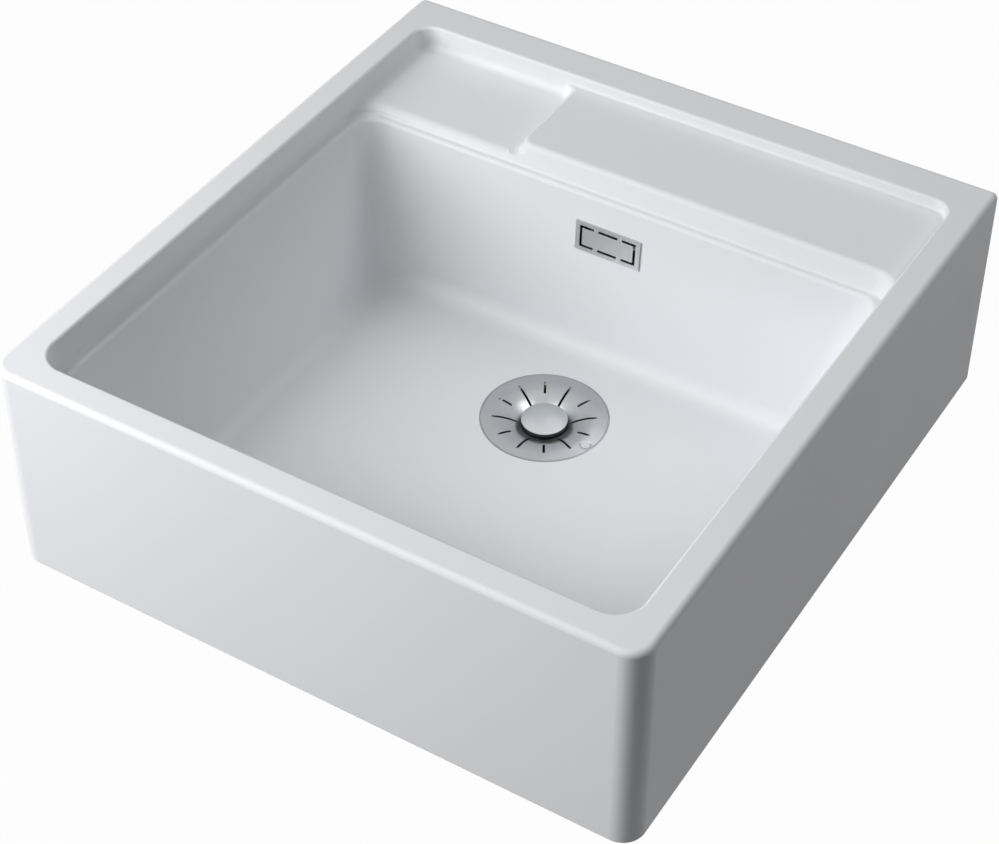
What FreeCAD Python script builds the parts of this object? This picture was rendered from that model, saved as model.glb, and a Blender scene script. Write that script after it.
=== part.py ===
import FreeCAD, Part
import math
import os

# Apron front ceramic sink for a 600 mm base unit, with its strainer waste and overflow fittings.
# Millimetres. X runs across the width, Y from the apron back to the wall and Z up. The origin
# is in the middle of the underside, on the plane where the skirt of the sink rests.

V = FreeCAD.Vector
UP = V(0, 0, 1)
PAST = 1.0  # how far a cutter runs past the face that it opens

# Ceramic body: outside
BODY_W = 598.0
BODY_D = 639.0
BODY_H = 213.0
FRONT_CORNER_R = 20.0
REAR_CORNER_R = 6.0
TOP_EDGE_R = 5.5
BOTTOM_EDGE_R = 2.0

# Ceramic body: the opening inside the rim
RIM_SIDE = 27.0
RIM_FRONT = 28.0
RIM_REAR = 39.5
RIM_EDGE_R = 3.0
OPENING_FRONT_R = 25.0
OPENING_REAR_R = 17.0

# Ceramic body: tap deck, pocket beside it and the shelf that both stand on
SHELF_D = 110.0  # opening's rear wall to the foot of the shelf's front
SHELF_DRAFT = 20.0  # degrees
SHELF_CORNER_R = 24.0
DECK_DEPTH = 10.7
DECK_COVE_R = 3.0
DECK_EDGE_R = 6.0
DECK_CORNER_R = 12.0
POCKET_W = 164.0
POCKET_DEPTH = 24.0
POCKET_COVE_R = 8.0
POCKET_CORNER_R = 14.0
SHOULDER_SLOPE = 45.0  # degrees
SHOULDER_R = 12.0
SHOULDER_COVE_R = 9.0  # at both ends, a little wider than the pocket's own cove

# Ceramic body: accessory ledge and bowl
LEDGE_DEPTH = 31.0
LEDGE_W = 9.0
LEDGE_REAR_W = 7.0
LEDGE_COVE_R = 3.0
LEDGE_EDGE_R = 4.0
FLOOR_Z = 13.0
SIDE_DRAFT = 10.2  # degrees
REAR_DRAFT = 3.6
FRONT_DRAFT = 6.0
BOWL_TOP_R = 22.0
BOWL_FLOOR_R = 50.0
FLOOR_EDGE_R = 18.0

# Ceramic body: hollow underside
WALL_T = 14.0
SKIRT_T = 16.0
UNDER_Z = 3.0
CHANNEL_DEPTH = 83.0  # rim to the top of the hollow beside the bowl
HOLLOW_CORNER_R = 10.0
SHELL_EDGE_R = 20.0

# Waste: place, and seat in the bowl's floor
WASTE_SETBACK = 118.0  # foot of the shelf to the middle of the waste
WASTE_HOLE_R = 45.0
SEAT_R = 58.9
SEAT_DEPTH = 3.6

# Waste: flange with its cup
FLANGE_R = 58.5
FLANGE_LIP_T = 0.8
FLANGE_T = 1.0
FLANGE_BEND_R = 4.0
FLANGE_SEAL_T = 1.2
CUP_R = 43.0
CUP_BOTTOM_Z = -23.5
CUP_FLOOR_R = 5.0
CUP_HUB_R = 10.0
CUP_ARM_W = 7.0
CUP_ARMS = 4
CUP_PORT_R = 32.0

# Strainer that drops into the flange
STRAINER_GAP = 0.3  # over its seat, and round its edge
STRAINER_T = 1.2
DISH_START_R = 48.0
DISH_CURVE_R = 45.0
DISH_TURN_R = 24.0
DISH_FOOT_R = 14.0
SLOT_COUNT = 12
SLOT_W = 2.3
SLOT_END_R = 1.1
SLOT_OUTER_R = 48.0
SLOT_LONG_INNER_R = 24.5
SLOT_SHORT_INNER_R = 34.3
HUB_R = 7.0
HUB_L = 12.0

# Lifting knob, stem and plug
KNOB_R = 21.0
KNOB_DROP = 1.9  # rim's top below the bowl's floor
KNOB_RISE = 3.0
KNOB_SIDE = 3.5  # the cap's straight side
KNOB_T = 1.4
KNOB_BOSS_R = 6.5
KNOB_BOSS_L = 3.0
STEM_R = 3.0
STEM_FIT = 0.06  # radial, in the guide
GUIDE_R = 5.2
GUIDE_FLANGE_R = 6.6
GUIDE_FLANGE_T = 0.8
RING_R = 5.0
RING_T = 1.0
PLUG_TRAVEL = 2.5
PLUG_R = 36.0
PLUG_T = 1.5
PLUG_RISE = 6.0
PLUG_HUB_R = 14.0
PLUG_SEAL_R = 38.0
PLUG_SEAL_T = 2.2
PLUG_GRIP = 5.0  # how far the seal wraps in under the plug's edge
PLUG_NUT_R = 5.5
PLUG_NUT_T = 3.2
SEAT_GAP = 0.3  # moving pieces stop this far from what they meet

# Waste body under the bowl
GASKET_T = 2.0
POT_FLANGE_R = 58.0
POT_FLANGE_T = 4.0
POT_R = 48.5
POT_WALL = 3.0
POT_BOTTOM_Z = -60.0
POT_CONE_H = 15.0
OUTLET_R = 23.9  # 1 1/2 inch thread, over its crests
OUTLET_WALL = 3.4
OUTLET_L = 24.0
POT_HUB_R = 9.0
POT_HUB_TOP_Z = -34.0
POT_HUB_L = 18.0
POT_RIB_T = 4.0
POT_RIBS = 4
INSERT_R = 6.0
INSERT_L = 14.0
SCREW_R = 4.0
SCREW_HEAD_R = 7.5
SCREW_HEAD_H = 3.0
SCREW_L = 22.0
SCREW_FIT = 0.05
SOCKET_R = 2.6

# Compression joints of the overflow pipe
PIPE_R = 11.0
PIPE_WALL = 1.5
PIPE_BEND_R = 30.0
PIPE_ENTRY = 20.0
INLET_SOCKET_L = 28.0
SPIGOT_FIT = 0.3
SPIGOT_R = 15.5
WASHER_L = 5.0
WASHER_TIP_R = 13.0
NUT_R = 18.5
NUT_REACH = 14.0
NUT_END_T = 3.5
NUT_FIT = 0.3
NUT_RIBS = 8
NUT_RIB_R = 1.5

# Overflow through the bowl's rear wall
OVERFLOW_DEPTH = 74.7  # rim to the middle of the cover
COVER_W = 66.0
COVER_H = 31.0
COVER_T = 0.7
COVER_PROUD = 1.6
COVER_CORNER_R = 0.5
COVER_LIP_T = 0.7
COVER_SLOT_W = 2.5
COVER_SLOT_CORNER_R = 0.6
COVER_SLOT_LOOP_W = 54.5
COVER_SLOT_LOOP_H = 20.4
COVER_BRIDGE_X = 12.0
COVER_BRIDGE_W = 4.7
COVER_CLIP_W = 4.0
COVER_CLIP_L = 6.0
COVER_CLIP_T = 0.8
WALL_SLOT_W = 60.4
WALL_SLOT_H = 26.4
WALL_SLOT_R = 3.0
CARRIER_FIT = 0.4
CARRIER_FLANGE_W = 64.0
CARRIER_FLANGE_H = 29.0
CARRIER_FLANGE_T = 0.5
CARRIER_WALL = 1.2
CARRIER_L = 12.0
CARRIER_WEB_T = 2.0
FACE_SEAL_T = 0.3
POST_X = 22.0
POST_R = 3.6
OVERFLOW_SCREW_R = 2.0
OVERFLOW_SCREW_HEAD_R = 3.4
OVERFLOW_SCREW_FACE_R = 2.7  # the head's flat face, inside its chamfer
OVERFLOW_SCREW_HEAD_H = 1.6
OVERFLOW_SCREW_L = 24.0
WALL_SEAL_T = 1.5
HOUSING_FLANGE_W = 78.0
HOUSING_FLANGE_H = 44.0
HOUSING_FLANGE_T = 3.0
HOUSING_W = 66.0
HOUSING_H = 32.0
HOUSING_DEPTH = 30.0
HOUSING_CORNER_R = 5.0
HOUSING_WALL = 2.5
HOUSING_DROP = 40.0  # overflow's middle down to the spigot's mouth

OPENING_X = BODY_W / 2 - RIM_SIDE
OPENING_FRONT_Y = -BODY_D / 2 + RIM_FRONT
OPENING_REAR_Y = BODY_D / 2 - RIM_REAR
LEDGE_Z = BODY_H - LEDGE_DEPTH
SHELF_FOOT_Y = OPENING_REAR_Y - SHELF_D
DECK_LEFT_X = -OPENING_X + POCKET_W
CHANNEL_TOP = BODY_H - CHANNEL_DEPTH
WASTE_Y = SHELF_FOOT_Y - WASTE_SETBACK
OVERFLOW_Z = BODY_H - OVERFLOW_DEPTH
WALL_SLOT = (WALL_SLOT_W, WALL_SLOT_H, WALL_SLOT_R)
FACE_SIZE = (CARRIER_FLANGE_W, CARRIER_FLANGE_H, COVER_CORNER_R)


# ---------------------------------------------------------------- shapes shared by the pieces


def rounded_polygon(corners, z):
    """Closed wire at height z through (x, y, radius) corners, each rounded by its own radius."""
    spans = []
    for i, (x, y, radius) in enumerate(corners):
        here = V(x, y, z)
        before = corners[i - 1]
        after = corners[(i + 1) % len(corners)]
        back = (V(before[0], before[1], z) - here).normalize()
        ahead = (V(after[0], after[1], z) - here).normalize()
        half = back.getAngle(ahead) / 2
        reach = radius / math.tan(half)
        inward = (back + ahead).normalize()
        middle = here + inward * (radius / math.sin(half) - radius)
        spans.append((here + back * reach, middle, here + ahead * reach))
    edges = []
    for i, (start, middle, end) in enumerate(spans):
        edges.append(Part.LineSegment(spans[i - 1][2], start).toShape())
        if corners[i][2] > 0:
            edges.append(Part.Arc(start, middle, end).toShape())
    return Part.Wire(edges)


def rectangle(x0, x1, y0, y1, radius):
    """Corners of a rectangle, for rounded_polygon."""
    return [(x0, y0, radius), (x1, y0, radius), (x1, y1, radius), (x0, y1, radius)]


def prism(corners, z0, z1):
    return Part.Face(rounded_polygon(corners, z0)).extrude(V(0, 0, z1 - z0))


def drafted(low_corners, z0, high_corners, z1):
    """Solid between two outlines with the same corners in the same order."""
    return Part.makeLoft([rounded_polygon(low_corners, z0), rounded_polygon(high_corners, z1)], True, True)


def edges_at(shape, z):
    """Edges that lie wholly at height z."""
    return [e for e in shape.Edges if abs(e.BoundBox.ZMin - z) + abs(e.BoundBox.ZMax - z) < 1e-4]


def within_box(edges, corners):
    """Those edges that lie on or inside the plan of a rectangle."""
    near = corners[0]
    far = corners[2]
    inside = []
    for edge in edges:
        box = edge.BoundBox
        room = min(box.XMin - near[0], box.YMin - near[1], far[0] - box.XMax, far[1] - box.YMax)
        if room > -0.01:
            inside.append(edge)
    return inside


def turned(profile, axis_y=WASTE_Y):
    """Solid turned about the upright axis through (0, axis_y) from (radius, height) points.

    A point given as a pair of pairs is an arc: the point on its way, then its end.
    """
    start = profile[0]
    here = start
    edges = []
    for step in list(profile[1:]) + [start]:
        if isinstance(step[0], tuple):
            way, end = step
            arc = Part.Arc(V(here[0], 0, here[1]), V(way[0], 0, way[1]), V(end[0], 0, end[1]))
            edges.append(arc.toShape())
            here = end
        elif step != here:
            edges.append(Part.LineSegment(V(here[0], 0, here[1]), V(step[0], 0, step[1])).toShape())
            here = step
    solid = Part.Face(Part.Wire(edges)).revolve(V(0, 0, 0), UP, 360)
    solid.translate(V(0, axis_y, 0))
    return solid


def ring(outer, inner, z0, z1, axis_y=WASTE_Y):
    return turned([(inner, z0), (outer, z0), (outer, z1), (inner, z1)], axis_y)


def disc(radius, z0, z1, axis_y=WASTE_Y):
    return Part.makeCylinder(radius, z1 - z0, V(0, axis_y, z0))


def hexagon(radius, z):
    """Six-sided face on the waste's axis, of a radius over its corners."""
    corners = [V(*arc_point((0, WASTE_Y), radius, 60 * i), z) for i in range(7)]
    return Part.Face(Part.makePolygon(corners))


def arc_point(centre, radius, angle):
    """Point at an angle in degrees, counterclockwise from +radius, round a centre in the profile."""
    return (
        centre[0] + radius * math.cos(math.radians(angle)),
        centre[1] + radius * math.sin(math.radians(angle)),
    )


def around(shape, turn, axis_y=WASTE_Y):
    """Copy of a shape turned about the upright axis through (0, axis_y)."""
    copy = shape.copy()
    copy.rotate(V(0, axis_y, 0), UP, turn)
    return copy


# ---------------------------------------------------------------- ceramic body


def shelf_front_y(depth):
    """Front of the shelf at a depth below the rim: it leans back as it rises."""
    return SHELF_FOOT_Y + (LEDGE_DEPTH - depth) * math.tan(math.radians(SHELF_DRAFT))


def deck_left_x(depth):
    """Left side of the tap deck at a depth below the rim."""
    return DECK_LEFT_X + (POCKET_DEPTH - depth) * math.tan(math.radians(SHELF_DRAFT))


def opening_corners():
    return [
        (-OPENING_X, OPENING_FRONT_Y, OPENING_FRONT_R),
        (OPENING_X, OPENING_FRONT_Y, OPENING_FRONT_R),
        (OPENING_X, OPENING_REAR_Y, OPENING_REAR_R),
        (-OPENING_X, OPENING_REAR_Y, OPENING_REAR_R),
    ]


def pocket_corners(depth):
    """Pocket beside the deck, open in front to the bowl and round the deck's corner."""
    right = DECK_LEFT_X + POCKET_W / 4
    front = SHELF_FOOT_Y - POCKET_W / 4
    return [
        (-OPENING_X, front, 0),
        (right, front, 0),
        (right, shelf_front_y(depth), 0),
        (deck_left_x(depth), shelf_front_y(depth), DECK_CORNER_R),
        (deck_left_x(depth), OPENING_REAR_Y, POCKET_CORNER_R),
        (-OPENING_X, OPENING_REAR_Y, OPENING_REAR_R),
    ]


def ledge_corners(depth):
    """Bowl above its ledge, in front of the shelf."""
    return [
        (-OPENING_X, OPENING_FRONT_Y, OPENING_FRONT_R),
        (OPENING_X, OPENING_FRONT_Y, OPENING_FRONT_R),
        (OPENING_X, shelf_front_y(depth), SHELF_CORNER_R),
        (-OPENING_X, shelf_front_y(depth), SHELF_CORNER_R),
    ]


def bowl_corners(z, wall, radius):
    """Bowl below the ledge at height z, grown outwards by a wall."""
    down = LEDGE_Z - z
    side = LEDGE_W + down * math.tan(math.radians(SIDE_DRAFT)) - wall
    rear = LEDGE_REAR_W + down * math.tan(math.radians(REAR_DRAFT)) - wall
    front = LEDGE_W + down * math.tan(math.radians(FRONT_DRAFT)) - wall
    half = OPENING_X - side
    return rectangle(-half, half, OPENING_FRONT_Y + front, SHELF_FOOT_Y - rear, radius)


def bowl_rear_y(z):
    """Inner face of the bowl's rear wall."""
    return bowl_corners(z, 0, 0)[2][1]


def sloped_cutter(corners_at, depth, cove, first_y):
    """Cutter from a depth to just under the rim's rounded edge, coved at its foot behind first_y."""
    top_depth = RIM_EDGE_R + PAST
    cutter = drafted(corners_at(depth), BODY_H - depth, corners_at(top_depth), BODY_H - top_depth)
    foot = [e for e in edges_at(cutter, BODY_H - depth) if e.BoundBox.YMax > first_y]
    return cutter.makeFillet(cove, foot)


def deck_edge_strip():
    """What the rounded edge takes off along the deck's left side and front."""
    z = BODY_H - DECK_DEPTH
    lean = math.radians(SHELF_DRAFT)
    reach = DECK_EDGE_R * math.tan((math.pi / 2 - lean) / 2)
    x = deck_left_x(DECK_DEPTH)
    y = shelf_front_y(DECK_DEPTH)
    turn = math.sqrt(0.5)
    points = [
        V(x - POCKET_CORNER_R, OPENING_REAR_Y, z),
        V(x - POCKET_CORNER_R * (1 - turn), OPENING_REAR_Y - POCKET_CORNER_R * (1 - turn), z),
        V(x, OPENING_REAR_Y - POCKET_CORNER_R, z),
        V(x, y + DECK_CORNER_R, z),
        V(x + DECK_CORNER_R * (1 - turn), y + DECK_CORNER_R * (1 - turn), z),
        V(x + DECK_CORNER_R, y, z),
        V(OPENING_X - SHELF_CORNER_R, y, z),
        V(OPENING_X - SHELF_CORNER_R * (1 - turn), y - SHELF_CORNER_R * (1 - turn), z),
        V(OPENING_X, y - SHELF_CORNER_R, z),
    ]
    path = Part.Wire(
        [
            Part.Arc(points[0], points[1], points[2]).toShape(),
            Part.LineSegment(points[2], points[3]).toShape(),
            Part.Arc(points[3], points[4], points[5]).toShape(),
            Part.LineSegment(points[5], points[6]).toShape(),
            Part.Arc(points[6], points[7], points[8]).toShape(),
        ]
    )

    def place(inward, up):
        return points[0] + V(0, inward, up)

    low = place(-reach * math.sin(lean), -reach * math.cos(lean))
    out = V(0, -math.cos(lean), math.sin(lean)) * PAST
    bend = math.radians(90 - SHELF_DRAFT) / 2
    middle = place(reach - DECK_EDGE_R * math.sin(bend), DECK_EDGE_R * (math.cos(bend) - 1))
    flat = place(reach, 0)
    raised = place(reach, PAST / 2)
    corner = place(-PAST, PAST / 2)
    profile = Part.Wire(
        [
            Part.Arc(flat, middle, low).toShape(),
            Part.LineSegment(low, low + out).toShape(),
            Part.LineSegment(low + out, corner).toShape(),
            Part.LineSegment(corner, raised).toShape(),
            Part.LineSegment(raised, flat).toShape(),
        ]
    )
    return path.makePipeShell([profile], True, False)


def shoulder_strip():
    """What the pocket's soft front shoulder takes off, from the deck round to the left wall.

    Both ends are coved, as the pocket's own foot is.
    """
    foot_depth = LEDGE_DEPTH - LEDGE_COVE_R
    slope = math.radians(SHOULDER_SLOPE)
    z = BODY_H - foot_depth
    y = shelf_front_y(foot_depth)
    turn = math.sqrt(0.5)
    right = V(deck_left_x(POCKET_DEPTH), y, z)
    left = V(-OPENING_X + SHELF_CORNER_R, y, z)
    way = V(-OPENING_X + SHELF_CORNER_R * (1 - turn), y - SHELF_CORNER_R * (1 - turn), z)
    end = V(-OPENING_X, y - SHELF_CORNER_R, z)
    path = Part.Wire([Part.LineSegment(right, left).toShape(), Part.Arc(left, way, end).toShape()])
    rise = foot_depth - POCKET_DEPTH
    run = rise / math.tan(slope)
    reach = SHOULDER_R * math.tan(slope / 2)
    brow = right + V(0, run, rise)
    low = brow - V(0, reach * math.cos(slope), reach * math.sin(slope))
    flat = brow + V(0, reach, 0)
    deep = right - V(0, SHOULDER_COVE_R / 2 / math.tan(slope), SHOULDER_COVE_R / 2)
    middle = flat + V(0, -SHOULDER_R * math.sin(slope / 2), SHOULDER_R * (math.cos(slope / 2) - 1))
    lift = V(0, 0, SHOULDER_COVE_R + PAST)
    front = V(right.x, right.y - SHELF_CORNER_R / 2, deep.z)
    above = V(front.x, front.y, flat.z + lift.z)
    profile = Part.Wire(
        [
            Part.Arc(flat, middle, low).toShape(),
            Part.LineSegment(low, deep).toShape(),
            Part.LineSegment(deep, front).toShape(),
            Part.LineSegment(front, above).toShape(),
            Part.LineSegment(above, flat + lift).toShape(),
            Part.LineSegment(flat + lift, flat).toShape(),
        ]
    )
    strip = path.makePipeShell([profile], True, False).common(prism(opening_corners(), 0, BODY_H))
    brows = [e for e in strip.Edges if e.BoundBox.XLength < 1e-4 and e.Curve.TypeId != "Part::GeomLine"]
    strip = strip.Solids[0].makeFillet(SHOULDER_COVE_R, brows)
    return strip.common(prism(opening_corners(), z, BODY_H))


def hollow_underside():
    """Room between the skirt and the bowl, open below, and taller behind the bowl."""
    x = BODY_W / 2 - SKIRT_T
    y = BODY_D / 2 - SKIRT_T
    behind_y = shelf_front_y(0) + WALL_T
    pocket_top = BODY_H - POCKET_DEPTH - WALL_T
    deck_top = BODY_H - DECK_DEPTH - WALL_T
    deck_x = DECK_LEFT_X + WALL_T
    room = prism(rectangle(-x, x, -y, y, HOLLOW_CORNER_R), -PAST, CHANNEL_TOP)
    room = room.fuse(prism(rectangle(-x, x, WASTE_Y, y, HOLLOW_CORNER_R), 0, LEDGE_Z - WALL_T))
    shell = drafted(
        bowl_corners(UNDER_Z, WALL_T, BOWL_FLOOR_R),
        UNDER_Z,
        bowl_corners(LEDGE_Z, WALL_T, BOWL_TOP_R + WALL_T),
        LEDGE_Z,
    )
    shell = shell.makeFillet(SHELL_EDGE_R, edges_at(shell, UNDER_Z))
    room = room.cut(shell)
    room = room.fuse(prism(rectangle(-x, x, behind_y, y, HOLLOW_CORNER_R), CHANNEL_TOP, pocket_top))
    return room.fuse(prism(rectangle(deck_x, x, behind_y, y, HOLLOW_CORNER_R), CHANNEL_TOP, deck_top))


def sink_body():
    x = BODY_W / 2
    y = BODY_D / 2
    outline = [
        (-x, -y, FRONT_CORNER_R),
        (x, -y, FRONT_CORNER_R),
        (x, y, REAR_CORNER_R),
        (-x, y, REAR_CORNER_R),
    ]
    body = prism(outline, 0, BODY_H)
    body = body.makeFillet(TOP_EDGE_R, edges_at(body, BODY_H))
    body = body.makeFillet(BOTTOM_EDGE_R, edges_at(body, 0))
    recess = prism(opening_corners(), BODY_H - DECK_DEPTH, BODY_H + PAST)
    body = body.cut(recess.makeFillet(DECK_COVE_R, edges_at(recess, BODY_H - DECK_DEPTH)))
    body = body.makeFillet(RIM_EDGE_R, within_box(edges_at(body, BODY_H), opening_corners()))
    body = body.cut(sloped_cutter(pocket_corners, POCKET_DEPTH, POCKET_COVE_R, SHELF_FOOT_Y))
    body = body.cut(sloped_cutter(ledge_corners, LEDGE_DEPTH, LEDGE_COVE_R, -BODY_D))
    body = body.cut(deck_edge_strip().common(prism(opening_corners(), 0, BODY_H)))
    body = body.cut(shoulder_strip())
    bowl = drafted(
        bowl_corners(FLOOR_Z, 0, BOWL_FLOOR_R),
        FLOOR_Z,
        bowl_corners(LEDGE_Z + PAST, 0, BOWL_TOP_R),
        LEDGE_Z + PAST,
    )
    body = body.cut(bowl.makeFillet(FLOOR_EDGE_R, edges_at(bowl, FLOOR_Z)))
    body = body.makeFillet(LEDGE_EDGE_R, within_box(edges_at(body, LEDGE_Z), bowl_corners(LEDGE_Z, 0, 0)))
    body = body.cut(hollow_underside())
    body = body.cut(disc(WASTE_HOLE_R, -PAST, FLOOR_Z + PAST))
    body = body.cut(disc(SEAT_R, FLOOR_Z - SEAT_DEPTH, FLOOR_Z + PAST))
    return body.cut(at_overflow(block(WALL_SLOT, -WALL_T, 2 * WALL_T)))


# ---------------------------------------------------------------- waste fitting


def waste_flange():
    """Pressed flange and cup: its lip stands flush with the bowl's floor."""
    seat_z = FLOOR_Z - SEAT_DEPTH + FLANGE_SEAL_T
    top_z = seat_z + FLANGE_T
    inner = CUP_R - FLANGE_T
    foot = CUP_FLOOR_R
    bottom = CUP_BOTTOM_Z - FLANGE_T
    low_turn = (CUP_R - foot, bottom + foot)
    high_turn = (inner + FLANGE_BEND_R, top_z - FLANGE_BEND_R)
    tight = FLANGE_BEND_R - FLANGE_T
    flange = turned(
        [
            (0, bottom),
            (low_turn[0], bottom),
            (arc_point(low_turn, foot, -45), (CUP_R, low_turn[1])),
            (CUP_R, high_turn[1]),
            (arc_point(high_turn, tight, 135), (high_turn[0], seat_z)),
            (FLANGE_R, seat_z),
            (FLANGE_R, FLOOR_Z),
            (FLANGE_R - FLANGE_LIP_T, FLOOR_Z),
            (FLANGE_R - FLANGE_LIP_T, top_z),
            (high_turn[0], top_z),
            (arc_point(high_turn, FLANGE_BEND_R, 135), (inner, high_turn[1])),
            (inner, low_turn[1]),
            (arc_point(low_turn, foot - FLANGE_T, -45), (low_turn[0], CUP_BOTTOM_Z)),
            (0, CUP_BOTTOM_Z),
        ]
    )
    ports = ring(CUP_PORT_R, CUP_HUB_R, bottom - PAST, CUP_BOTTOM_Z + PAST)
    for i in range(CUP_ARMS):
        arm = Part.makeBox(CUP_PORT_R + PAST, CUP_ARM_W, FLANGE_T + 4 * PAST)
        arm.translate(V(0, WASTE_Y - CUP_ARM_W / 2, bottom - 2 * PAST))
        ports = ports.cut(around(arm, 45 + i * 360 / CUP_ARMS))
    flange = flange.cut(ports)
    return flange.cut(disc(SCREW_R + SCREW_FIT, bottom - PAST, CUP_BOTTOM_Z + PAST))


def flange_seal():
    low = FLOOR_Z - SEAT_DEPTH
    return ring(FLANGE_R, WASTE_HOLE_R + PAST, low, low + FLANGE_SEAL_T)


def lower_gasket():
    return ring(POT_FLANGE_R, WASTE_HOLE_R + PAST, UNDER_Z - GASKET_T, UNDER_Z)


def waste_body():
    """Moulded pot clamped under the bowl, with its outlet below and the overflow's inlet behind."""
    top = UNDER_Z - GASKET_T
    inner = POT_R - POT_WALL
    outlet_top = POT_BOTTOM_Z - POT_CONE_H
    outlet_low = outlet_top - OUTLET_L
    bore = OUTLET_R - OUTLET_WALL
    pot = turned(
        [
            (inner, top),
            (POT_FLANGE_R, top),
            (POT_FLANGE_R, top - POT_FLANGE_T),
            (POT_R, top - POT_FLANGE_T),
            (POT_R, POT_BOTTOM_Z),
            (OUTLET_R, outlet_top),
            (OUTLET_R, outlet_low),
            (bore, outlet_low),
            (bore, outlet_top + POT_WALL),
            (inner, POT_BOTTOM_Z + POT_WALL),
        ]
    )
    hub_low = POT_HUB_TOP_Z - POT_HUB_L
    pot = pot.fuse(disc(POT_HUB_R, hub_low, POT_HUB_TOP_Z))
    for i in range(POT_RIBS):
        rib = Part.makeBox(inner + POT_WALL / 2, POT_RIB_T, POT_HUB_L)
        rib.translate(V(0, WASTE_Y - POT_RIB_T / 2, hub_low))
        pot = pot.fuse(around(rib, 45 + i * 360 / POT_RIBS))
    pot = pot.fuse(inlet_rod(SPIGOT_R, inlet_reach()))
    pot = pot.cut(inlet_rod(PIPE_R + SPIGOT_FIT, INLET_SOCKET_L))
    pot = pot.cut(inlet_rod(PIPE_R - PIPE_WALL, inlet_reach() + PAST))
    pot = pot.cut(disc(INSERT_R, POT_HUB_TOP_Z - INSERT_L, POT_HUB_TOP_Z + PAST))
    return pot.removeSplitter()


def threaded_insert():
    return ring(INSERT_R, SCREW_R + SCREW_FIT, POT_HUB_TOP_Z - INSERT_L, POT_HUB_TOP_Z)


def clamp_screw():
    """Screw that draws the cup and the pot together, with a hexagon socket."""
    head_z = CUP_BOTTOM_Z + SCREW_HEAD_H
    tip_z = CUP_BOTTOM_Z - SCREW_L
    chamfer = SCREW_R / 4
    screw = turned(
        [
            (0, tip_z),
            (SCREW_R - chamfer, tip_z),
            (SCREW_R, tip_z + chamfer),
            (SCREW_R, CUP_BOTTOM_Z),
            (SCREW_HEAD_R, CUP_BOTTOM_Z),
            (SCREW_HEAD_R, head_z - chamfer),
            (SCREW_HEAD_R - chamfer, head_z),
            (0, head_z),
        ]
    )
    return screw.cut(hexagon(SOCKET_R, head_z).extrude(V(0, 0, -SCREW_HEAD_H / 2)))


# ---------------------------------------------------------------- strainer, knob and plug


def strainer_top_z():
    return FLOOR_Z - SEAT_DEPTH + FLANGE_SEAL_T + FLANGE_T + STRAINER_GAP + STRAINER_T


def dish(offset):
    """Points of the dished face from its edge inwards, moved down by an offset along its normal.

    It curves down from the flat edge, then turns back to level round the hub.
    """
    top = strainer_top_z()
    curve = (DISH_START_R, top - DISH_CURVE_R)
    steep = math.degrees(math.asin((DISH_START_R - DISH_TURN_R) / DISH_CURVE_R))
    turn = arc_point(curve, DISH_CURVE_R + DISH_FOOT_R, 90 + steep)
    radius = DISH_CURVE_R - offset
    foot_radius = DISH_FOOT_R + offset
    return [
        (DISH_START_R, top - offset),
        (arc_point(curve, radius, 90 + steep / 2), arc_point(curve, radius, 90 + steep)),
        (arc_point(turn, foot_radius, 270 + steep / 2), arc_point(turn, foot_radius, 270)),
    ]


def dish_floor_z():
    return dish(0)[2][1][1]


def strainer_disc():
    """Dished disc with a guide hub, and twelve radial slots that are long and short in turn."""
    top = strainer_top_z()
    edge = FLANGE_R - FLANGE_LIP_T - STRAINER_GAP
    upper = dish(0)
    lower = dish(STRAINER_T)
    floor = dish_floor_z()
    hub_low = floor - HUB_L
    under = [
        (HUB_R, hub_low),
        (HUB_R, floor - STRAINER_T),
        (lower[2][1][0], floor - STRAINER_T),
        (lower[2][0], lower[1][1]),
        (lower[1][0], lower[0]),
        (edge, top - STRAINER_T),
        (edge, top),
    ]
    solid = turned([(GUIDE_R, hub_low)] + under + upper + [(GUIDE_R, floor)])
    for i in range(SLOT_COUNT):
        inner = SLOT_SHORT_INNER_R if i % 2 == 0 else SLOT_LONG_INNER_R
        slot = prism(rectangle(inner, SLOT_OUTER_R, -SLOT_W / 2, SLOT_W / 2, SLOT_END_R), floor, top + PAST)
        slot.translate(V(0, WASTE_Y, 0))
        solid = solid.cut(around(slot, i * 360 / SLOT_COUNT))
    return solid


def stem_guide():
    """Plastic bush in the strainer's hub."""
    floor = dish_floor_z()
    bore = STEM_R + STEM_FIT
    return turned(
        [
            (bore, floor - HUB_L),
            (GUIDE_R, floor - HUB_L),
            (GUIDE_R, floor),
            (GUIDE_FLANGE_R, floor),
            (GUIDE_FLANGE_R, floor + GUIDE_FLANGE_T),
            (bore, floor + GUIDE_FLANGE_T),
        ]
    )


def knob_rim_z():
    return FLOOR_Z - KNOB_DROP


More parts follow.
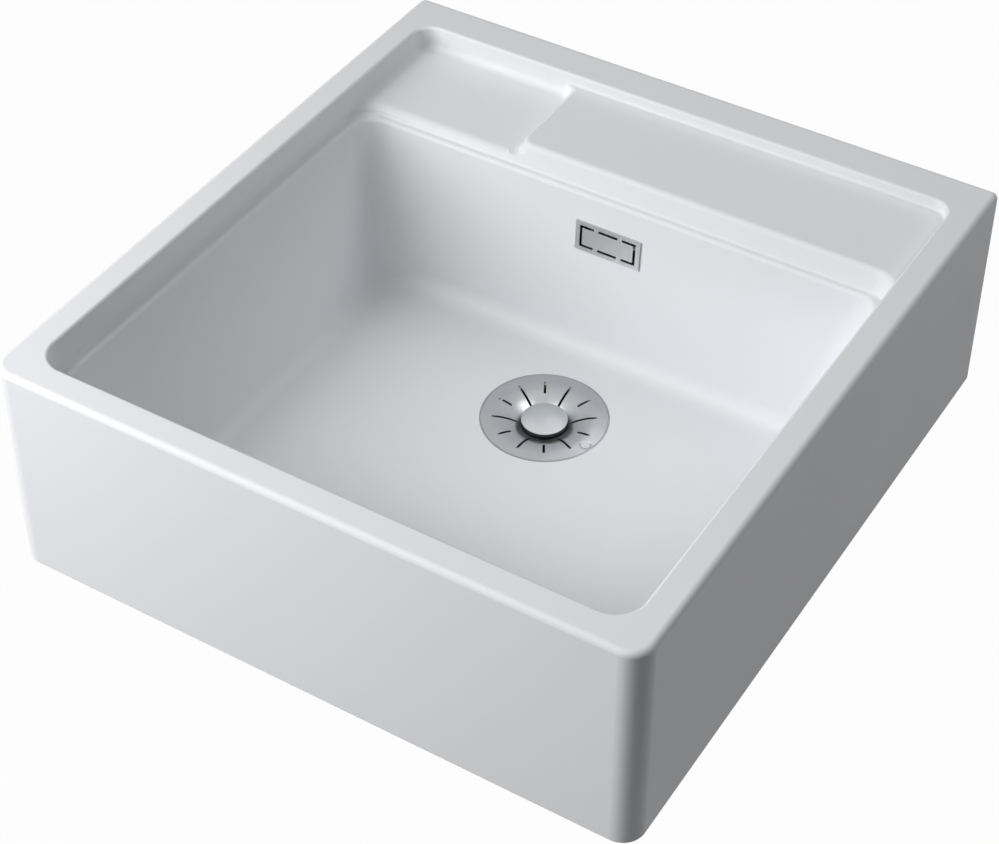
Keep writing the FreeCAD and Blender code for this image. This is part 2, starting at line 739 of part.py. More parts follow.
def lift_knob():
    """Domed cap with a boss for the stem."""
    rim = knob_rim_z()
    dome_r = (KNOB_R**2 + KNOB_RISE**2) / (2 * KNOB_RISE)
    centre = (0, rim + KNOB_RISE - dome_r)
    inner_r = dome_r - KNOB_T
    half = math.degrees(math.asin(KNOB_R / dome_r))
    rim_in = KNOB_R - KNOB_T
    low = rim - KNOB_SIDE
    inner_half = math.degrees(math.asin(rim_in / inner_r))
    boss_half = math.degrees(math.asin(KNOB_BOSS_R / inner_r))
    way = arc_point(centre, inner_r, 90 - (boss_half + inner_half) / 2)
    boss_low = rim + KNOB_RISE - KNOB_T - KNOB_BOSS_L
    hole_top = stem_top_z()
    return turned(
        [
            (STEM_R, boss_low),
            (KNOB_BOSS_R, boss_low),
            arc_point(centre, inner_r, 90 - boss_half),
            (way, arc_point(centre, inner_r, 90 - inner_half)),
            (rim_in, low),
            (KNOB_R, low),
            (KNOB_R, rim),
            (arc_point(centre, dome_r, 90 - half / 2), (0, rim + KNOB_RISE)),
            (0, hole_top),
            (STEM_R, hole_top),
        ]
    )


def stem_top_z():
    return knob_rim_z() + KNOB_RISE - KNOB_T


def ring_z():
    """Top of the retaining ring, which stops the stem under its guide."""
    return dish_floor_z() - HUB_L - SEAT_GAP


def plug_stem():
    groove = STEM_R - RING_T / 2
    low = ring_z() - RING_T
    return turned(
        [
            (0, plug_nut_low_z()),
            (STEM_R, plug_nut_low_z()),
            (STEM_R, low),
            (groove, low),
            (groove, ring_z()),
            (STEM_R, ring_z()),
            (STEM_R, stem_top_z()),
            (0, stem_top_z()),
        ]
    )


def retaining_ring():
    """Open spring ring in the stem's groove."""
    groove = STEM_R - RING_T / 2
    whole = ring(RING_R, groove, ring_z() - RING_T, ring_z())
    mouth = Part.makeBox(2 * groove, 2 * RING_R, 3 * RING_T, V(-groove, WASTE_Y, ring_z() - 2 * RING_T))
    return whole.cut(mouth)


def plug_seal_low_z():
    return CUP_BOTTOM_Z + SEAT_GAP + PLUG_TRAVEL


def plug_low_z():
    return plug_seal_low_z() + (PLUG_SEAL_T - PLUG_T) / 2


def plug_nut_low_z():
    """Foot of the nut under the plug's raised middle, where the stem ends too."""
    return plug_low_z() + PLUG_RISE - PLUG_NUT_T


def plug_disc():
    """Dished plug: its middle stands up over the clamping screw."""
    low = plug_low_z()
    high = low + PLUG_RISE
    shoulder = PLUG_HUB_R + PLUG_RISE
    return turned(
        [
            (STEM_R, high),
            (PLUG_HUB_R, high),
            (shoulder, low),
            (PLUG_R, low),
            (PLUG_R, low + PLUG_T),
            (shoulder + PLUG_T / 2, low + PLUG_T),
            (PLUG_HUB_R + PLUG_T / 2, high + PLUG_T),
            (STEM_R, high + PLUG_T),
        ]
    )


def plug_seal():
    """Rubber ring that wraps the plug's edge."""
    low = plug_seal_low_z()
    whole = ring(PLUG_SEAL_R, PLUG_R - PLUG_GRIP, low, low + PLUG_SEAL_T)
    rims = edges_at(whole, low) + edges_at(whole, low + PLUG_SEAL_T)
    whole = whole.makeFillet(PLUG_SEAL_T / 4, [e for e in rims if e.Curve.Radius > PLUG_R])
    return whole.cut(disc(PLUG_R, plug_low_z(), plug_low_z() + PLUG_T))


def plug_nut():
    low = plug_nut_low_z()
    nut = hexagon(PLUG_NUT_R, low).extrude(V(0, 0, PLUG_NUT_T))
    return nut.cut(disc(STEM_R, low - PAST, low + PLUG_NUT_T + PAST))


# ---------------------------------------------------------------- overflow fitting


def at_overflow(shape):
    """Moves a shape from the overflow's own frame, whose +Y runs into the rear wall, to its place."""
    shape.rotate(V(0, 0, 0), V(1, 0, 0), -REAR_DRAFT)
    shape.translate(V(0, bowl_rear_y(OVERFLOW_Z), OVERFLOW_Z))
    return shape


def block(size, y0, y1):
    """Block through the wall in the overflow's frame, of a (width, height, corner radius) size."""
    width, height, radius = size
    shape = prism(rectangle(-width / 2, width / 2, -height / 2, height / 2, radius), 0, y1 - y0)
    shape.rotate(V(0, 0, 0), V(1, 0, 0), 90)
    shape.translate(V(0, y1, 0))
    return shape


def frame_block(size, window, y0, y1):
    """Block with a window right through it."""
    return block(size, y0, y1).cut(block(window, y0 - PAST, y1 + PAST))


def slab(x, width, y0, depth, z, height):
    """Sharp box in the overflow's frame, centred on x and standing on z."""
    return Part.makeBox(width, depth, height, V(x - width / 2, y0, z))


def grown(size, more):
    """A size grown by the same amount on every side, its corners kept concentric."""
    return (size[0] + 2 * more, size[1] + 2 * more, max(size[2] + more, 0))


def wall_depth():
    """Thickness of the bowl's rear wall, square to its face."""
    return WALL_T * math.cos(math.radians(REAR_DRAFT))


def carrier_window():
    return grown(WALL_SLOT, -CARRIER_FIT - CARRIER_WALL)


def overflow_cover():
    """Brushed cover: a shallow tray, a loop of slots broken by four bridges, and a clip on each."""
    front = -COVER_PROUD
    size = (COVER_W, COVER_H, COVER_CORNER_R)
    tray = block(size, front, -SEAT_GAP)
    tray = tray.cut(block(grown(size, -COVER_LIP_T), front + COVER_T, PAST))
    loop = (COVER_SLOT_LOOP_W, COVER_SLOT_LOOP_H, COVER_SLOT_CORNER_R - COVER_SLOT_W / 2)
    slots = frame_block(
        grown(loop, COVER_SLOT_W / 2), grown(loop, -COVER_SLOT_W / 2), front - PAST, front + COVER_T + PAST
    )
    for x in (-COVER_BRIDGE_X, COVER_BRIDGE_X):
        slots = slots.cut(slab(x, COVER_BRIDGE_W, front - 2 * PAST, 2 * WALL_T, -COVER_H / 2, COVER_H))
    tray = tray.cut(slots)
    clip_z = carrier_window()[1] / 2 - CARRIER_FIT - COVER_CLIP_T
    for x in (-COVER_BRIDGE_X, COVER_BRIDGE_X):
        for z in (-clip_z - COVER_CLIP_T, clip_z):
            tray = tray.fuse(slab(x, COVER_CLIP_W, front + COVER_T / 2, COVER_CLIP_L, z, COVER_CLIP_T))
    return at_overflow(tray)


def rod(y0, y1, x, radius):
    """Cylinder along the overflow's own Y."""
    return Part.makeCylinder(radius, y1 - y0, V(x, y0, 0), V(0, 1, 0))


def overflow_carrier():
    """Plastic frame in the wall's slot, which the cover clips to and the screws pull back."""
    face = -FACE_SEAL_T
    flange = frame_block(FACE_SIZE, carrier_window(), face - CARRIER_FLANGE_T, face)
    sleeve = frame_block(
        grown(WALL_SLOT, -CARRIER_FIT), carrier_window(), face - CARRIER_FLANGE_T / 2, CARRIER_L
    )
    carrier = flange.fuse(sleeve)
    web_h = carrier_window()[1] + CARRIER_WALL
    for x in (-POST_X, POST_X):
        web = slab(x, 2 * POST_R, CARRIER_L - CARRIER_WEB_T, CARRIER_WEB_T, -web_h / 2, web_h)
        carrier = carrier.fuse(web).cut(rod(0, CARRIER_L + PAST, x, OVERFLOW_SCREW_R + SCREW_FIT))
    return at_overflow(carrier.removeSplitter())


def overflow_face_seal():
    """Thin foam frame between the carrier's flange and the glaze."""
    return at_overflow(frame_block(FACE_SIZE, WALL_SLOT, -FACE_SEAL_T, 0))


def overflow_screws():
    """Two screws from the carrier's webs into the housing behind the wall."""
    web_y = CARRIER_L - CARRIER_WEB_T
    face = V(0, web_y - OVERFLOW_SCREW_HEAD_H, 0)
    screws = []
    for x in (-POST_X, POST_X):
        shank = rod(web_y, web_y + OVERFLOW_SCREW_L, x, OVERFLOW_SCREW_R)
        head = Part.makeCone(
            OVERFLOW_SCREW_FACE_R, OVERFLOW_SCREW_HEAD_R, OVERFLOW_SCREW_HEAD_H, face + V(x, 0, 0), V(0, 1, 0)
        )
        screws.append(shank.fuse(head).removeSplitter())
    return at_overflow(Part.makeCompound(screws))


def housing_front_y():
    return wall_depth() + WALL_SEAL_T


def overflow_wall_seal():
    flange = (HOUSING_FLANGE_W, HOUSING_FLANGE_H, HOUSING_CORNER_R)
    return at_overflow(frame_block(flange, WALL_SLOT, wall_depth(), housing_front_y()))


def spigot_y():
    """Where the overflow's pipe drops behind the bowl."""
    middle = housing_front_y() + HOUSING_FLANGE_T + (HOUSING_DEPTH - HOUSING_FLANGE_T) / 2
    return bowl_rear_y(OVERFLOW_Z) + middle


def spigot_mouth_z():
    return OVERFLOW_Z - HOUSING_DROP


def overflow_housing():
    """Box behind the wall, which collects the water and drops it into the pipe."""
    front = housing_front_y()
    back = front + HOUSING_DEPTH
    size = (HOUSING_W, HOUSING_H, HOUSING_CORNER_R)
    flange = (HOUSING_FLANGE_W, HOUSING_FLANGE_H, HOUSING_CORNER_R)
    housing = at_overflow(block(size, front, back).fuse(block(flange, front, front + HOUSING_FLANGE_T)))
    mouth = V(0, spigot_y(), spigot_mouth_z())
    housing = housing.fuse(Part.makeCylinder(SPIGOT_R, HOUSING_DROP, mouth))
    housing = housing.cut(at_overflow(block(grown(size, -HOUSING_WALL), front - PAST, back - HOUSING_WALL)))
    housing = housing.cut(Part.makeCylinder(PIPE_R - PIPE_WALL, HOUSING_DROP, mouth))
    housing = housing.cut(Part.makeCylinder(PIPE_R + SPIGOT_FIT, PIPE_ENTRY, mouth))
    hole_end = CARRIER_L - CARRIER_WEB_T + OVERFLOW_SCREW_L + PAST
    for x in (-POST_X, POST_X):
        boss = rod(front, back, x, POST_R).cut(rod(front, hole_end, x, OVERFLOW_SCREW_R + SCREW_FIT))
        housing = housing.fuse(at_overflow(boss))
    return housing.removeSplitter()


# ---------------------------------------------------------------- overflow pipe and its joints


def at_spigot(shape):
    """Moves a shape whose +Z leaves a joint's mouth to the housing's spigot, pointing down."""
    shape.rotate(V(0, 0, 0), V(1, 0, 0), 180)
    shape.translate(V(0, spigot_y(), spigot_mouth_z()))
    return shape


def inlet_z():
    return POT_HUB_TOP_Z - POT_HUB_L / 3


def inlet_mouth_y():
    return WASTE_Y + POT_R + 2 * PIPE_ENTRY - SPIGOT_FIT


def inlet_reach():
    """Length of the waste's inlet spigot, from inside the pot's wall to its mouth."""
    return inlet_mouth_y() - WASTE_Y - POT_R + POT_WALL


def at_inlet(shape):
    """Moves a shape whose +Z leaves a joint's mouth to the waste's inlet, pointing to the rear."""
    shape.rotate(V(0, 0, 0), V(1, 0, 0), -90)
    shape.translate(V(0, inlet_mouth_y(), inlet_z()))
    return shape


def inlet_rod(radius, reach):
    """Cylinder on the inlet's axis, from its mouth into the pot."""
    return at_inlet(Part.makeCylinder(radius, reach, V(0, 0, -reach)))


def overflow_pipe():
    """Rigid pipe: down behind the bowl, round one bend and forwards into the waste."""
    y = spigot_y()
    top = V(0, y, spigot_mouth_z() + PIPE_ENTRY - SPIGOT_FIT)
    bend_top = V(0, y, inlet_z() + PIPE_BEND_R)
    turn = PIPE_BEND_R * (1 - math.sqrt(0.5))
    way = V(0, y - turn, inlet_z() + turn)
    bend_end = V(0, y - PIPE_BEND_R, inlet_z())
    end = V(0, inlet_mouth_y() - PIPE_ENTRY, inlet_z())
    path = Part.Wire(
        [
            Part.LineSegment(top, bend_top).toShape(),
            Part.Arc(bend_top, way, bend_end).toShape(),
            Part.LineSegment(bend_end, end).toShape(),
        ]
    )
    tubes = []
    for radius in (PIPE_R, PIPE_R - PIPE_WALL):
        section = Part.Wire(Part.makeCircle(radius, top, UP))
        tubes.append(path.makePipeShell([section], True, False))
    return tubes[0].cut(tubes[1])


def cone_washer():
    """Tapered rubber washer that the nut squeezes onto the pipe, from the joint's mouth outwards."""
    base = SPIGOT_R - SPIGOT_FIT
    return turned([(PIPE_R, 0), (base, 0), (WASHER_TIP_R, WASHER_L), (PIPE_R, WASHER_L)], 0)


def slip_nut():
    """Ribbed hand nut over the spigot's thread."""
    inner = SPIGOT_R + NUT_FIT
    end = WASHER_L + NUT_FIT
    chamfer = NUT_END_T / 3
    nut = turned(
        [
            (inner, -NUT_REACH),
            (NUT_R, -NUT_REACH),
            (NUT_R, end + NUT_END_T - chamfer),
            (NUT_R - chamfer, end + NUT_END_T),
            (PIPE_R + SPIGOT_FIT, end + NUT_END_T),
            (PIPE_R + SPIGOT_FIT, end),
            (inner, end),
        ],
        0,
    )
    for i in range(NUT_RIBS):
        x, y = arc_point((0, 0), NUT_R - NUT_RIB_R / 2, i * 360 / NUT_RIBS)
        nut = nut.fuse(Part.makeCylinder(NUT_RIB_R, NUT_REACH + end, V(x, y, -NUT_REACH)))
    return nut.cut(Part.makeCylinder(inner, NUT_REACH + end, V(0, 0, -NUT_REACH))).removeSplitter()


# ---------------------------------------------------------------- write the pieces

PIECES = {
    "sink_body": sink_body,
    "waste_flange": waste_flange,
    "flange_seal": flange_seal,
    "lower_gasket": lower_gasket,
    "waste_body": waste_body,
    "threaded_insert": threaded_insert,
    "clamp_screw": clamp_screw,
    "strainer_disc": strainer_disc,
    "stem_guide": stem_guide,
    "lift_knob": lift_knob,
    "plug_stem": plug_stem,
    "retaining_ring": retaining_ring,
    "plug_disc": plug_disc,
    "plug_seal": plug_seal,
    "plug_nut": plug_nut,
    "overflow_cover": overflow_cover,
    "overflow_carrier": overflow_carrier,
    "overflow_face_seal": overflow_face_seal,
    "overflow_screws": overflow_screws,
    "overflow_wall_seal": overflow_wall_seal,
    "overflow_housing": overflow_housing,
    "overflow_pipe": overflow_pipe,
    "upper_cone_washer": lambda: at_spigot(cone_washer()),
    "upper_slip_nut": lambda: at_spigot(slip_nut()),
    "lower_cone_washer": lambda: at_inlet(cone_washer()),
    "lower_slip_nut": lambda: at_inlet(slip_nut()),
}

os.makedirs("parts", exist_ok=True)
for name, make in PIECES.items():
    shape = make()
    print(name, shape.isValid(), len(shape.Solids), round(shape.Volume))
    shape.exportStep(f"parts/{name}.step")
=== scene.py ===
"""Studio look of an apron front ceramic sink: glaze, brushed steel, moulded plastic and rubber."""

import math

import bpy
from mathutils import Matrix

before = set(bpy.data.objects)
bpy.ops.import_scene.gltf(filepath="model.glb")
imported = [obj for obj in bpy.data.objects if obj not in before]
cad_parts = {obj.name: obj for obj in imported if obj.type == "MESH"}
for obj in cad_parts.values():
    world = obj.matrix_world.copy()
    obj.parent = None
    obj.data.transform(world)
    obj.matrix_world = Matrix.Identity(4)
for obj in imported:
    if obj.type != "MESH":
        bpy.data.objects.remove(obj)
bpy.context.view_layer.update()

# Lengths are in metres, in the frame of the CAD model.
CAMERA_AT = (0.803583, -1.330019, 1.471501)
CAMERA_TURN = (0.8590, 0.0, 0.5520)
SENSOR_MM = 36.0
LENS_MM = 86.49
SHIFT_Y = -0.072
FAR_CLIP = 100.0

WASTE_AT = (0.0, 0.052)
KNOB_CAP_Z = 0.0106  # the cap's edge; below it the knob is near black, a black body and painted shade under the cap
KNOB_SHADE_R = 0.0212  # the strainer is painted near black inside this radius: painted shade under the knob
CUP_SHADE_R = 0.0455  # the flange is painted near black inside this radius, as painted shade in its cup; the strainer's seat begins here
DIMPLE_AT = (0.0500, 0.0396)
DIMPLE_R = 0.0055
DIMPLE_EDGE = 0.0012
DIMPLE_DEPTH = 0.0006
OUTLET_THREAD = {"low": -0.099, "high": -0.0765, "pitch": 0.0023}
THREAD_DEPTH = 0.0008

WHITE = (1.0, 1.0, 1.0)
# near black for painted shade in the strainer's middle and the flange's cup, and for the knob's black
# body
BLACK_BODY_AND_SHADE = (0.012, 0.012, 0.013)
BLACK_BODY_AND_SHADE_ROUGH = 0.4
STEEL = {"dark": (0.39, 0.405, 0.415), "light": (0.49, 0.505, 0.515), "low": 0.26, "high": 0.36}
KNOB = {"dark": (0.50, 0.52, 0.54), "light": (0.60, 0.62, 0.63), "low": 0.28, "high": 0.42}
COVER = {"dark": (0.57, 0.57, 0.58), "light": (0.68, 0.68, 0.69), "low": 0.28, "high": 0.44}

ROUND_STROKES = (3500.0, 3.0, 900.0)  # noise cells per metre out, per radian and per metre down
LEVEL_STROKES = (45.0, 2500.0, 3200.0)  # noise cells per metre along X, Y and Z

FLOOR_Z = -0.1005  # just under the outlet
FLOOR_HALF = 30.0
FLOOR_GREY = (0.32, 0.32, 0.32)
FLOOR_GLOW = 0.978  # share of plain white in what the camera and mirrors see of the floor
WORLD_LIGHT = 0.04
LIT_POINT = (0.0, 0.0, 0.1)
LAMPS = {
    "key": {"place": (-1.2, -1.3, 0.9), "size": 0.9, "power": 22.0},
    "top": {"place": (-1.0, -1.6, 2.2), "size": 1.2, "power": 40.0},
    "rear": {"place": (1.2, 1.0, 2.0), "size": 1.2, "power": 15.5},
}


# ---------------------------------------------------------------- node helpers


def rgba(colour):
    return (*colour, 1.0)


def put(node, inputs):
    """Links the sockets and sets the values given for a node's inputs."""
    for key, value in inputs.items():
        if isinstance(value, bpy.types.NodeSocket):
            node.id_data.links.new(value, node.inputs[key])
        else:
            node.inputs[key].default_value = value
    return node


def adder(tree):
    """Function that adds a node to a tree and sets it up."""

    def add(kind, inputs=None, **settings):
        node = tree.nodes.new(kind)
        for key, value in settings.items():
            setattr(node, key, value)
        return put(node, inputs or {})

    return add


def new_material(name):
    """Material, its Principled shader, and a function that adds nodes to it."""
    material = bpy.data.materials.new(name)
    material.use_nodes = True
    tree = material.node_tree
    return material, tree.nodes["Principled BSDF"], adder(tree)


def calc(add, operation, *values):
    return add("ShaderNodeMath", dict(enumerate(values)), operation=operation).outputs[0]


def vector_calc(add, operation, *values):
    return add("ShaderNodeVectorMath", dict(enumerate(values)), operation=operation).outputs


def position(add):
    """Object coordinates, which are the frame's own metres."""
    return add("ShaderNodeTexCoord").outputs["Object"]


def axis(add, vector, name):
    return add("ShaderNodeSeparateXYZ", {"Vector": vector}).outputs[name]


def from_line(add, x, y):
    """Vector from an upright line's foot to the point."""
    return vector_calc(add, "SUBTRACT", position(add), (x, y, 0.0))[0]


def distance_from(add, x, y):
    """Level distance from an upright line."""
    level = vector_calc(add, "MULTIPLY", from_line(add, x, y), (1.0, 1.0, 0.0))[0]
    return vector_calc(add, "LENGTH", level)["Value"]


def spread(add, value, low, high):
    """Maps a 0 to 1 value on to a range."""
    inputs = {"Value": value, "To Min": low, "To Max": high}
    return add("ShaderNodeMapRange", inputs).outputs["Result"]


def noise(add, vector, scale, detail=4.0, rough=0.55):
    inputs = {"Vector": vector, "Scale": scale, "Detail": detail, "Roughness": rough}
    return add("ShaderNodeTexNoise", inputs).outputs["Fac"]


def blend(add, factor, first, second, kind):
    """Goes from the first to the second as the factor goes from 0 to 1."""
    inputs = {"Factor": factor, "A": first, "B": second}
    return add("ShaderNodeMix", inputs, data_type=kind).outputs["Result"]


def tint(add, value, dark, light):
    """Colour that drifts between two shades with a 0 to 1 value."""
    return blend(add, value, rgba(dark), rgba(light), "RGBA")


def bump(add, height, strength, distance, normal=None):
    inputs = {"Height": height, "Strength": strength, "Distance": distance}
    if normal is not None:
        inputs["Normal"] = normal
    return add("ShaderNodeBump", inputs).outputs["Normal"]


# ---------------------------------------------------------------- glaze, plastic and rubber


def glaze():
    """White satin glaze: slow waves, a slight drift of shade and slightly uneven gloss."""
    material, shader, add = new_material("glaze")
    where = position(add)
    cloud = noise(add, where, scale=5.0, detail=2.0)
    sheen = noise(add, where, scale=14.0, detail=2.0)
    wave = noise(add, where, scale=9.0, detail=1.0)
    put(shader, {
        "Base Color": tint(add, cloud, dark=(0.750, 0.761, 0.782), light=(0.780, 0.790, 0.810)),
        "Roughness": spread(add, sheen, low=0.44, high=0.52),
        "Normal": bump(add, wave, strength=0.05, distance=0.0010),
        "IOR": 1.5,
        "Specular IOR Level": 0.2,
    })
    return material


def thread_ridges(add, where, low, high, pitch):
    """Rings of a screw thread between two heights, -1 to 1, and 0 elsewhere."""
    height = axis(add, where, "Z")
    ridge = calc(add, "SINE", calc(add, "MULTIPLY", height, 2 * math.pi / pitch))
    above = calc(add, "GREATER_THAN", height, low)
    below = calc(add, "LESS_THAN", height, high)
    return calc(add, "MULTIPLY", ridge, calc(add, "MULTIPLY", above, below))


def moulded(name, dark, light, rough, thread=None):
    """Moulded plastic with a fine grain, and with a screw thread if one is given."""
    material, shader, add = new_material(name)
    where = position(add)
    cloud = noise(add, where, scale=30.0)
    gloss = noise(add, where, scale=90.0)
    grain = noise(add, where, scale=1500.0, detail=3.0)
    normal = bump(add, grain, strength=0.22, distance=0.0002)
    if thread:
        normal = bump(add, thread_ridges(add, where, **thread), 1.0, THREAD_DEPTH, normal)
    put(shader, {
        "Base Color": tint(add, cloud, dark, light),
        "Roughness": spread(add, gloss, low=rough - 0.07, high=rough + 0.07),
        "Normal": normal,
    })
    return material


def soft_rubber(name, dark, light, rough, scale):
    """Rubber or foam with a matt pitted skin."""
    material, shader, add = new_material(name)
    where = position(add)
    pits = add("ShaderNodeTexVoronoi", {"Vector": where, "Scale": scale}).outputs["Distance"]
    cloud = noise(add, where, scale=80.0)
    put(shader, {
        "Base Color": tint(add, cloud, dark, light),
        "Roughness": spread(add, cloud, low=rough - 0.06, high=rough + 0.06),
        "Normal": bump(add, pits, strength=0.3, distance=0.0003),
    })
    return material


# ---------------------------------------------------------------- metals


def turned_metal(name, dark, light, rough):
    """Turned or stamped metal with a cloudy finish and fine scratches."""
    material, shader, add = new_material(name)
    where = position(add)
    cloud = noise(add, where, scale=120.0, detail=5.0)
    scratch = noise(add, where, scale=2200.0, detail=2.0)
    put(shader, {
        "Base Color": tint(add, cloud, dark, light),
        "Roughness": spread(add, cloud, low=rough - 0.08, high=rough + 0.08),
        "Normal": bump(add, scratch, strength=0.15, distance=0.0001),
        "Metallic": 1.0,
    })
    return material


def round_grain(add):
    """Strokes that run round the waste's axis."""
    centred = from_line(add, *WASTE_AT)
    angle = calc(add, "ARCTAN2", axis(add, centred, "Y"), axis(add, centred, "X"))
    out_by, round_by, down_by = ROUND_STROKES
    parts = {
        "X": calc(add, "MULTIPLY", distance_from(add, *WASTE_AT), out_by),
        "Y": calc(add, "MULTIPLY", angle, round_by),
        "Z": calc(add, "MULTIPLY", axis(add, centred, "Z"), down_by),
    }
    return add("ShaderNodeCombineXYZ", parts).outputs[0]


def level_grain(add):
    """Strokes that run level across the overflow's cover."""
    return vector_calc(add, "MULTIPLY", position(add), LEVEL_STROKES)[0]


def brushed(name, grain, dark, light, low, high, black_and_shade_mask=None):
    """Brushed steel. Where a mask is given, its 0 turns the steel near black: painted shade, and on the
    knob also a black body.
    """
    material, shader, add = new_material(name)
    strokes = noise(add, grain(add), scale=1.0, detail=6.0, rough=0.65)
    cloud = noise(add, position(add), scale=60.0, detail=3.0)
    shade = calc(add, "MULTIPLY", calc(add, "ADD", strokes, cloud), 0.5)
    colour = tint(add, shade, dark, light)
    rough = spread(add, strokes, low, high)
    metal = 1.0
    if black_and_shade_mask:
        metal = black_and_shade_mask(add)
        colour = blend(add, metal, rgba(BLACK_BODY_AND_SHADE), colour, "RGBA")
        rough = blend(add, metal, BLACK_BODY_AND_SHADE_ROUGH, rough, "FLOAT")
    put(shader, {
        "Base Color": colour,
        "Roughness": rough,
        "Metallic": metal,
        "Normal": bump(add, strokes, strength=0.18, distance=0.00012),
    })
    return material


def cap_mask(add):
    """1 on the knob's cap, 0 on its side and underside, which are painted near black: a black body and
    painted shade under the cap.
    """
    return calc(add, "GREATER_THAN", axis(add, position(add), "Z"), KNOB_CAP_Z)


def outside(radius):
    """Mask that is 1 further than a radius from the waste's axis."""

    def mask(add):
        return calc(add, "GREATER_THAN", distance_from(add, *WASTE_AT), radius)

    return mask


def strainer_steel():
    """Round brushed steel, painted near black under the knob as painted shade, with a plain shallow
    dimple near the edge.
    """
    material = brushed("disc_steel_and_shade", round_grain, **STEEL, black_and_shade_mask=outside(KNOB_SHADE_R))
    add = adder(material.node_tree)
    shader = material.node_tree.nodes["Principled BSDF"]
    wall = {"Value": distance_from(add, *DIMPLE_AT), "From Min": DIMPLE_R - DIMPLE_EDGE,
            "From Max": DIMPLE_R}
    height = add("ShaderNodeMapRange", wall, interpolation_type="SMOOTHSTEP").outputs["Result"]
    brushing = shader.inputs["Normal"].links[0].from_socket
    put(shader, {"Normal": bump(add, height, 1.0, DIMPLE_DEPTH, brushing)})
    return material


# ---------------------------------------------------------------- which piece has which look


looks = {
    "glaze": glaze(),
    "disc_steel_and_shade": strainer_steel(),
    # the knob's side and underside are near black: a black body, and painted shade under the cap
    "knob_steel": brushed("knob_steel", round_grain, **KNOB, black_and_shade_mask=cap_mask),
    # the flange's cup is painted near black inside 45.5 mm: painted shade seen through the strainer's
    # slots
    "flange_steel_and_shade": brushed("flange_steel_and_shade", round_grain, **STEEL, black_and_shade_mask=outside(CUP_SHADE_R)),
    "cover_steel": brushed("cover_steel", level_grain, **COVER),
    "plain_steel": turned_metal("plain_steel", (0.40, 0.40, 0.41), (0.52, 0.52, 0.53), 0.32),
    # near black steel for the plug disc: painted shade below the strainer, not the steel's own colour
    "painted_shade_steel": turned_metal("painted_shade_steel", (0.05, 0.05, 0.052), (0.09, 0.09, 0.092), 0.40),
    "brass": turned_metal("brass", (0.52, 0.36, 0.14), (0.66, 0.48, 0.20), 0.30),
    "white_plastic": moulded(
        "white_plastic", (0.70, 0.70, 0.685), (0.76, 0.76, 0.745), 0.42, OUTLET_THREAD),
    "grey_plastic": moulded("grey_plastic", (0.12, 0.125, 0.13), (0.17, 0.175, 0.18), 0.5),
    "black_plastic": moulded(
        "black_plastic", (0.018, 0.018, 0.019), (0.032, 0.032, 0.034), 0.5),
    "black_rubber": soft_rubber(
        "black_rubber", (0.012, 0.012, 0.012), (0.028, 0.028, 0.028), 0.72, 900.0),
    "grey_foam": soft_rubber(
        "grey_foam", (0.09, 0.09, 0.095), (0.13, 0.13, 0.135), 0.85, 1600.0),
}
node_looks = {
    "sink_body": "glaze",
    "waste_flange": "flange_steel_and_shade",
    "strainer_disc": "disc_steel_and_shade",
    "lift_knob": "knob_steel",
    "overflow_cover": "cover_steel",
    "clamp_screw": "plain_steel",
    "plug_stem": "plain_steel",
    "retaining_ring": "plain_steel",
    "plug_disc": "painted_shade_steel",
    "plug_nut": "plain_steel",
    "overflow_screws": "plain_steel",
    "threaded_insert": "brass",
    "waste_body": "white_plastic",
    "overflow_housing": "white_plastic",
    "overflow_pipe": "white_plastic",
    "upper_slip_nut": "white_plastic",
    "lower_slip_nut": "white_plastic",
    "stem_guide": "grey_plastic",
    "overflow_carrier": "black_plastic",
    "lower_gasket": "black_rubber",
    "plug_seal": "black_rubber",
    "overflow_wall_seal": "black_rubber",
    "upper_cone_washer": "black_rubber",
    "lower_cone_washer": "black_rubber",
    "flange_seal": "grey_foam",
    "overflow_face_seal": "grey_foam",
}
for name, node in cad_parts.items():
    for place in node.material_slots:
        place.material = looks[node_looks[name]]


# ---------------------------------------------------------------- studio


def seen_by_eye(add):
    """1 for what the camera, a mirror or glass sees, else 0."""
    path = add("ShaderNodeLightPath").outputs
    seen = calc(add, "MAXIMUM", path["Is Camera Ray"], path["Is Glossy Ray"])
    return calc(add, "MAXIMUM", seen, path["Is Transmission Ray"])


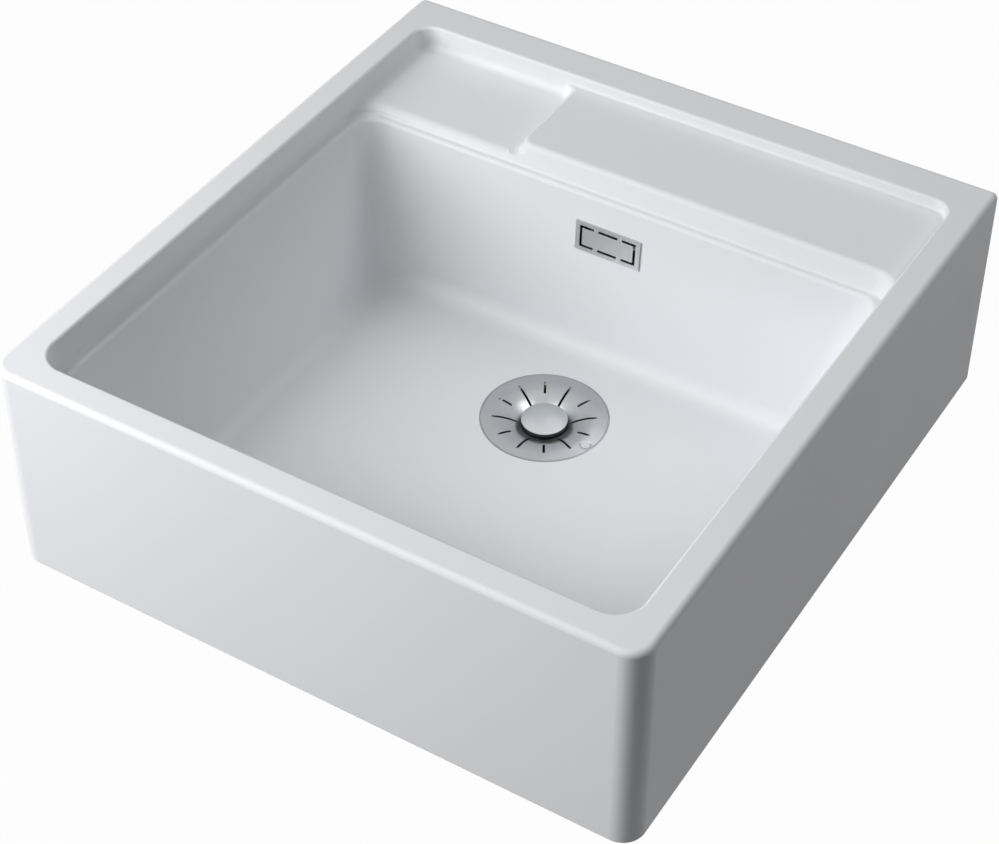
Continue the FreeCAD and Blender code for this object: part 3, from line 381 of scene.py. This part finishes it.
def floor_material():
    """Pale floor, nearly plain white where it is seen, with a faint shadow of the object."""
    material, shader, add = new_material("studio_floor")
    put(shader, {"Base Color": rgba(FLOOR_GREY), "Roughness": 0.9, "Specular IOR Level": 0.1})
    glow = add("ShaderNodeEmission", {"Color": rgba(WHITE), "Strength": 1.0})
    share = spread(add, seen_by_eye(add), low=0.0, high=FLOOR_GLOW)
    both = add("ShaderNodeMixShader", {0: share, 1: shader.outputs[0], 2: glow.outputs[0]})
    put(material.node_tree.nodes["Material Output"], {"Surface": both.outputs[0]})
    return material


def add_floor():
    half = FLOOR_HALF
    corners = [(x, y, FLOOR_Z) for x, y in ((-half, -half), (half, -half), (half, half), (-half, half))]
    mesh = bpy.data.meshes.new("floor")
    mesh.from_pydata(corners, [], [(0, 1, 2, 3)])
    mesh.materials.append(floor_material())
    floor = bpy.data.objects.new("floor", mesh)
    bpy.context.scene.collection.objects.link(floor)


def add_world():
    """White where it is seen, and a weak grey light on the object."""
    world = bpy.data.worlds.new("studio")
    bpy.context.scene.world = world
    world.use_nodes = True
    add = adder(world.node_tree)
    strength = spread(add, seen_by_eye(add), low=WORLD_LIGHT, high=1.0)
    put(world.node_tree.nodes["Background"], {"Color": rgba(WHITE), "Strength": strength})


def add_light(name, place, size, power):
    """Soft square lamp that faces the object."""
    lamp = bpy.data.lights.new(name, "AREA")
    lamp.shape = "SQUARE"
    lamp.size = size
    lamp.energy = power
    light = bpy.data.objects.new(name, lamp)
    light.location = place
    x, y, z = (p - t for p, t in zip(place, LIT_POINT))
    light.rotation_euler = (math.atan2(math.hypot(x, y), z), 0.0, math.atan2(x, -y))
    bpy.context.scene.collection.objects.link(light)


def add_camera():
    data = bpy.data.cameras.new("camera")
    data.sensor_width = SENSOR_MM
    data.sensor_fit = "HORIZONTAL"
    data.lens = LENS_MM
    data.shift_y = SHIFT_Y
    data.clip_end = FAR_CLIP
    camera = bpy.data.objects.new("camera", data)
    camera.location = CAMERA_AT
    camera.rotation_euler = CAMERA_TURN
    bpy.context.scene.collection.objects.link(camera)
    bpy.context.scene.camera = camera


add_floor()
add_world()
for name, lamp in LAMPS.items():
    add_light(name, **lamp)
add_camera()
bpy.context.scene.view_settings.view_transform = "Standard"
